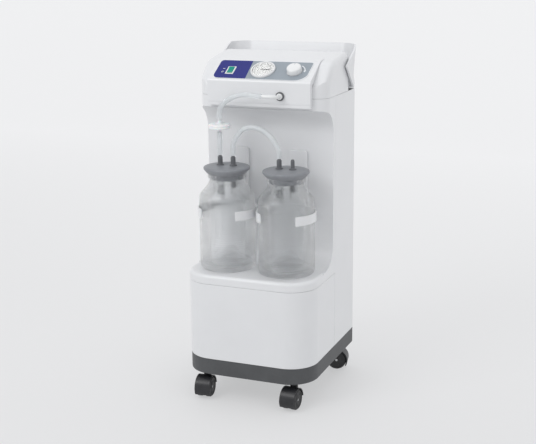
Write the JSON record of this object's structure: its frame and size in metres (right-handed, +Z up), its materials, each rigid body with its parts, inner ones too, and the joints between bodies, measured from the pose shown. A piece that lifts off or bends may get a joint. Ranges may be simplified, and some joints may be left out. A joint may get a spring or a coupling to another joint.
{
  "type": "suction pump",
  "caption": "Mobile hospital suction pump: white cabinet on swivel casters, jar bay with two glass collection jars, tilted panel with switch, gauge and regulator.",
  "frame": {"origin": "on the floor under the middle of the whole pump's bounding box", "axes": "+Z up, the front with the jars faces -Y, +X to the right seen from the front"},
  "size_m": [0.346, 0.3826, 0.8473],
  "materials": {
    "shell_white": "semi-gloss moulded cabinet plastic",
    "base_grey": "dark grey moulded plastic, fine texture",
    "black_nylon": "black nylon, slightly worn",
    "label_film": "printed overlay film, blue and grey",
    "control_white": "white moulded controls",
    "rocker_green": "translucent green rocker",
    "dial_white": "printed white dial",
    "needle_black": "black pointer",
    "clear_plastic": "clear moulded plastic",
    "brass": "machined brass",
    "clear_hose": "translucent silicone hose",
    "filter_white": "white disposable filter housing",
    "jar_glass": "clear ribbed glass",
    "lid_grey": "grey rubber stopper lid",
    "nipple_grey": "dark grey moulded nipple",
    "float_dark": "dark moulded float",
    "steel": "zinc plated steel",
    "aluminium": "cast aluminium",
    "motor_paint": "dark painted motor case"
  },
  "bodies": {
    "cabinet": {"base_tray": "base_grey", "lower_front_cover": "shell_white", "bay_shell": "shell_white", "rear_shell": "shell_white", "top_cover": "shell_white", "control_fascia": "shell_white", "handle": "shell_white", "panel_label": "label_film", "switch_housing": "control_white", "gauge_case": "control_white", "gauge_dial": "dial_white", "gauge_lens": "clear_plastic", "regulator_valve": "brass", "vacuum_port": "base_grey", "port_elbow": "control_white", "port_hose": "clear_hose", "bacterial_filter": "filter_white", "filter_hose": "clear_hose", "jar_link_hose": "clear_hose", "jar_left": "jar_glass", "jar_right": "jar_glass", "jar_lid_left": "lid_grey", "jar_lid_right": "lid_grey", "inlet_nipple_left": "nipple_grey", "outlet_nipple_left": "nipple_grey", "inlet_nipple_right": "nipple_grey", "outlet_nipple_right": "nipple_grey", "float_cage_left": "clear_plastic", "float_cage_right": "clear_plastic", "jar_clip_left": "shell_white", "jar_clip_right": "shell_white", "clip_plate_left": "shell_white", "clip_plate_right": "shell_white", "pump_plate": "steel", "pump_block": "aluminium", "motor": "motor_paint", "power_inlet": "black_nylon", "rear_vent": "base_grey"},
    "rocker": {"switch_rocker": "rocker_green"},
    "needle": {"gauge_needle": "needle_black"},
    "knob": {"regulator_knob": "control_white"},
    "left_float": {"float_left": "float_dark"},
    "right_float": {"float_right": "float_dark"},
    "fan": {"motor_fan": "steel"},
    "front_left_swivel": {"caster_front_left_hood": "black_nylon", "caster_front_left_axle": "steel"},
    "front_left_wheel_a": {"caster_front_left_wheel_inner": "black_nylon"},
    "front_left_wheel_b": {"caster_front_left_wheel_outer": "black_nylon"},
    "front_right_swivel": {"caster_front_right_hood": "black_nylon", "caster_front_right_axle": "steel"},
    "front_right_wheel_a": {"caster_front_right_wheel_inner": "black_nylon"},
    "front_right_wheel_b": {"caster_front_right_wheel_outer": "black_nylon"},
    "rear_left_swivel": {"caster_rear_left_hood": "black_nylon", "caster_rear_left_axle": "steel"},
    "rear_left_wheel_a": {"caster_rear_left_wheel_inner": "black_nylon"},
    "rear_left_wheel_b": {"caster_rear_left_wheel_outer": "black_nylon"},
    "rear_right_swivel": {"caster_rear_right_hood": "black_nylon", "caster_rear_right_axle": "steel"},
    "rear_right_wheel_a": {"caster_rear_right_wheel_inner": "black_nylon"},
    "rear_right_wheel_b": {"caster_rear_right_wheel_outer": "black_nylon"}
  },
  "joints": [
    {"name": "power_rocker", "type": "hinge", "parent": "cabinet", "child": "rocker", "pos_m": [-0.082, -0.0432, 0.79482], "axis": [1, 0, 0], "range_deg": [-9, 0]},
    {"name": "gauge_pointer", "type": "hinge", "parent": "cabinet", "child": "needle", "pos_m": [0, -0.0392, 0.79713], "axis": [0, -0.5, 0.866], "range_deg": [-30, 210], "stiffness_Nm_per_rad": 0.000002},
    {"name": "regulator_turn", "type": "hinge", "parent": "cabinet", "child": "knob", "pos_m": [0.08, -0.0392, 0.79713], "axis": [0, -0.5, 0.866], "range_deg": [-300, 0]},
    {"name": "left_float_rise", "type": "slide", "parent": "cabinet", "child": "left_float", "axis": [0, 0, 1], "range_m": [0, 0.008]},
    {"name": "right_float_rise", "type": "slide", "parent": "cabinet", "child": "right_float", "axis": [0, 0, 1], "range_m": [0, 0.008]},
    {"name": "motor_spin", "type": "hinge", "parent": "cabinet", "child": "fan", "pos_m": [0, 0.0798, 0.155], "axis": [1, 0, 0], "continuous": true},
    {"name": "front_left_swivel_turn", "type": "hinge", "parent": "cabinet", "child": "front_left_swivel", "pos_m": [-0.115, -0.1442, 0.05], "axis": [0, 0, 1], "continuous": true},
    {"name": "front_left_wheel_a_spin", "type": "hinge", "parent": "front_left_swivel", "child": "front_left_wheel_a", "pos_m": [-0.11352, -0.16114, 0.02519], "axis": [0.9962, 0.0872, 0], "continuous": true},
    {"name": "front_left_wheel_b_spin", "type": "hinge", "parent": "front_left_swivel", "child": "front_left_wheel_b", "pos_m": [-0.11352, -0.16114, 0.02519], "axis": [0.9962, 0.0872, 0], "continuous": true},
    {"name": "front_right_swivel_turn", "type": "hinge", "parent": "cabinet", "child": "front_right_swivel", "pos_m": [0.115, -0.1442, 0.05], "axis": [0, 0, 1], "continuous": true},
    {"name": "front_right_wheel_a_spin", "type": "hinge", "parent": "front_right_swivel", "child": "front_right_wheel_a", "pos_m": [0.11381, -0.16116, 0.02519], "axis": [0.9976, -0.0698, 0], "continuous": true},
    {"name": "front_right_wheel_b_spin", "type": "hinge", "parent": "front_right_swivel", "child": "front_right_wheel_b", "pos_m": [0.11381, -0.16116, 0.02519], "axis": [0.9976, -0.0698, 0], "continuous": true},
    {"name": "rear_left_swivel_turn", "type": "hinge", "parent": "cabinet", "child": "rear_left_swivel", "pos_m": [-0.115, 0.1318, 0.05], "axis": [0, 0, 1], "continuous": true},
    {"name": "rear_left_wheel_a_spin", "type": "hinge", "parent": "rear_left_swivel", "child": "rear_left_wheel_a", "pos_m": [-0.1106, 0.11538, 0.02519], "axis": [0.9659, 0.2588, 0], "continuous": true},
    {"name": "rear_left_wheel_b_spin", "type": "hinge", "parent": "rear_left_swivel", "child": "rear_left_wheel_b", "pos_m": [-0.1106, 0.11538, 0.02519], "axis": [0.9659, 0.2588, 0], "continuous": true},
    {"name": "rear_right_swivel_turn", "type": "hinge", "parent": "cabinet", "child": "rear_right_swivel", "pos_m": [0.115, 0.1318, 0.05], "axis": [0, 0, 1], "continuous": true},
    {"name": "rear_right_wheel_a_spin", "type": "hinge", "parent": "rear_right_swivel", "child": "rear_right_wheel_a", "pos_m": [0.13163, 0.13533, 0.02519], "axis": [-0.2079, 0.9781, 0], "continuous": true},
    {"name": "rear_right_wheel_b_spin", "type": "hinge", "parent": "rear_right_swivel", "child": "rear_right_wheel_b", "pos_m": [0.13163, 0.13533, 0.02519], "axis": [-0.2079, 0.9781, 0], "continuous": true}
  ]
}
